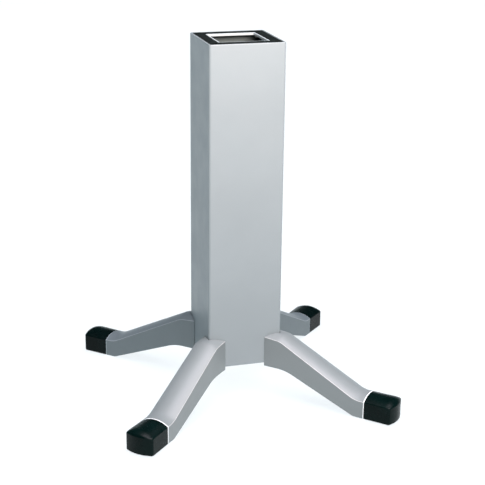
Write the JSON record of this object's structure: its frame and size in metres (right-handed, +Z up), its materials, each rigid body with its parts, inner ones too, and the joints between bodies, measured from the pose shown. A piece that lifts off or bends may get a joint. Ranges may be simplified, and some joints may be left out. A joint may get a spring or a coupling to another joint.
{
  "type": "pedestal column base",
  "caption": "Square steel column on four splayed cast legs with end caps, levelling feet and a square cable opening on top.",
  "frame": {"origin": "on the floor, on the column's axis, at the centre of the footprint", "axes": "+Z up along the column; +X right and -Y towards the front face; the legs run along the diagonals"},
  "size_m": [0.5518, 0.5518, 0.722],
  "materials": {
    "column_paint": "satin light grey powder coat",
    "leg_paint": "satin silver-grey coat on a casting",
    "steel": "zinc plated",
    "cap_plastic": "black moulded, soft sheen",
    "frame_plastic": "black moulded, matte",
    "rubber": "matte black"
  },
  "bodies": {
    "root": {"column_tube": "column_paint", "bottom_plate": "steel", "cable_grommet": "rubber", "top_plate": "column_paint", "top_frame": "frame_plastic", "weld_nut_1": "steel", "weld_nut_2": "steel", "weld_nut_3": "steel", "weld_nut_4": "steel", "leg_front_left": "leg_paint", "leg_bolt_a_front_left": "steel", "leg_bolt_b_front_left": "steel", "corner_bolt_front_left": "steel", "corner_washer_front_left": "steel", "end_cap_front_left": "cap_plastic", "cap_screw_front_left": "steel", "lock_nut_front_left": "steel", "leg_front_right": "leg_paint", "leg_bolt_a_front_right": "steel", "leg_bolt_b_front_right": "steel", "corner_bolt_front_right": "steel", "corner_washer_front_right": "steel", "end_cap_front_right": "cap_plastic", "cap_screw_front_right": "steel", "lock_nut_front_right": "steel", "leg_back_right": "leg_paint", "leg_bolt_a_back_right": "steel", "leg_bolt_b_back_right": "steel", "corner_bolt_back_right": "steel", "corner_washer_back_right": "steel", "end_cap_back_right": "cap_plastic", "cap_screw_back_right": "steel", "lock_nut_back_right": "steel", "leg_back_left": "leg_paint", "leg_bolt_a_back_left": "steel", "leg_bolt_b_back_left": "steel", "corner_bolt_back_left": "steel", "corner_washer_back_left": "steel", "end_cap_back_left": "cap_plastic", "cap_screw_back_left": "steel", "lock_nut_back_left": "steel"},
    "pad_front_left": {"foot_pad_front_left": "rubber"},
    "stud_front_left": {"foot_stud_front_left": "steel"},
    "pad_front_right": {"foot_pad_front_right": "rubber"},
    "stud_front_right": {"foot_stud_front_right": "steel"},
    "pad_back_right": {"foot_pad_back_right": "rubber"},
    "stud_back_right": {"foot_stud_back_right": "steel"},
    "pad_back_left": {"foot_pad_back_left": "rubber"},
    "stud_back_left": {"foot_stud_back_left": "steel"}
  },
  "joints": [
    {"name": "foot_height_front_left", "type": "slide", "parent": "root", "child": "pad_front_left", "axis": [0, 0, -1], "range_m": [0, 0.012]},
    {"name": "stud_spin_front_left", "type": "hinge", "parent": "pad_front_left", "child": "stud_front_left", "pos_m": [-0.23759, -0.23759, 0.02], "axis": [0, 0, -1], "range_deg": [0, 2881]},
    {"name": "foot_height_front_right", "type": "slide", "parent": "root", "child": "pad_front_right", "axis": [0, 0, -1], "range_m": [0, 0.012]},
    {"name": "stud_spin_front_right", "type": "hinge", "parent": "pad_front_right", "child": "stud_front_right", "pos_m": [0.23759, -0.23759, 0.02], "axis": [0, 0, -1], "range_deg": [0, 2881]},
    {"name": "foot_height_back_right", "type": "slide", "parent": "root", "child": "pad_back_right", "axis": [0, 0, -1], "range_m": [0, 0.012]},
    {"name": "stud_spin_back_right", "type": "hinge", "parent": "pad_back_right", "child": "stud_back_right", "pos_m": [0.23759, 0.23759, 0.02], "axis": [0, 0, -1], "range_deg": [0, 2881]},
    {"name": "foot_height_back_left", "type": "slide", "parent": "root", "child": "pad_back_left", "axis": [0, 0, -1], "range_m": [0, 0.012]},
    {"name": "stud_spin_back_left", "type": "hinge", "parent": "pad_back_left", "child": "stud_back_left", "pos_m": [-0.23759, 0.23759, 0.02], "axis": [0, 0, -1], "range_deg": [0, 2881]}
  ],
  "couplings": [
    {"joint": "stud_spin_front_left", "follows": "foot_height_front_left", "rad_per_m": 4188.8},
    {"joint": "stud_spin_front_right", "follows": "foot_height_front_right", "rad_per_m": 4188.8},
    {"joint": "stud_spin_back_right", "follows": "foot_height_back_right", "rad_per_m": 4188.8},
    {"joint": "stud_spin_back_left", "follows": "foot_height_back_left", "rad_per_m": 4188.8}
  ]
}
